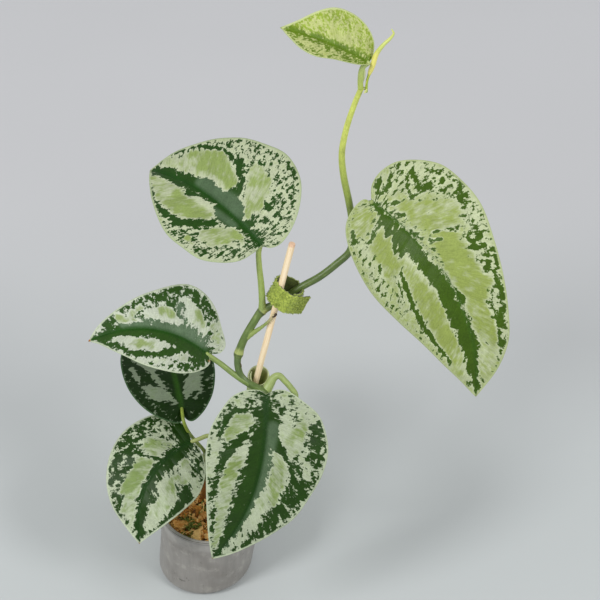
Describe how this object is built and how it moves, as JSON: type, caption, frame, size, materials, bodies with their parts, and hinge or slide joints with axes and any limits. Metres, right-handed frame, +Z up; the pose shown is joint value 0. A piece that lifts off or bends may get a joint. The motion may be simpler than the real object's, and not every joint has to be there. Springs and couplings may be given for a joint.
{
  "type": "potted tricolor scindapsus",
  "caption": "Young climbing aroid with heart-shaped silver, light and dark green leaves in a small grey nursery pot, its stem held to a wooden stick by a hook-and-loop tie.",
  "frame": {"origin": "centre of the pot's flat underside, on the surface it stands on", "axes": "+Z up, +X to the right and +Y to the back as the plant is seen from its front"},
  "size_m": [0.218, 0.1514, 0.3759],
  "materials": {
    "pot": "thin translucent grey moulded plastic, satin",
    "potting_mix": "loose bark and coir mix, rough and matte",
    "bark": "broken bark, rough and matte",
    "support_stick": "bare pale wood, fine long grain",
    "stem": "smooth green stem skin, satin",
    "variegated_leaf": "dark green, silver and light green variegation, soft velvety sheen",
    "young_leaf": "yellow-green young leaf, satin",
    "sheath": "dry pale green sheath, matte",
    "aerial_root": "green root skin with a brown tip, matte",
    "new_shoot": "fresh yellow-green shoot, satin",
    "tie_fabric": "hook-and-loop tape, fuzzy loops, matte"
  },
  "bodies": {
    "root": {"pot": "pot", "potting_mix": "potting_mix", "support_stick": "support_stick", "main_stem": "stem", "aerial_root": "aerial_root", "rolled_sheath": "sheath", "tie_band": "tie_fabric", "new_shoot": "new_shoot", "node_bract": "new_shoot", "bark_chip_1": "bark", "bark_chip_2": "bark", "bark_chip_3": "bark", "bark_chip_4": "bark", "bark_chip_5": "bark", "bark_chip_6": "bark", "bark_chip_7": "bark", "bark_chip_8": "bark", "petiole_a": "stem", "leaf_a": "variegated_leaf", "petiole_b": "stem", "leaf_b": "variegated_leaf", "petiole_c": "stem", "leaf_c": "variegated_leaf", "petiole_d": "stem", "leaf_d": "variegated_leaf", "petiole_e": "stem", "leaf_e": "variegated_leaf", "petiole_f": "stem", "leaf_f": "young_leaf", "petiole_g": "stem", "leaf_g": "variegated_leaf"}
  },
  "joints": []
}
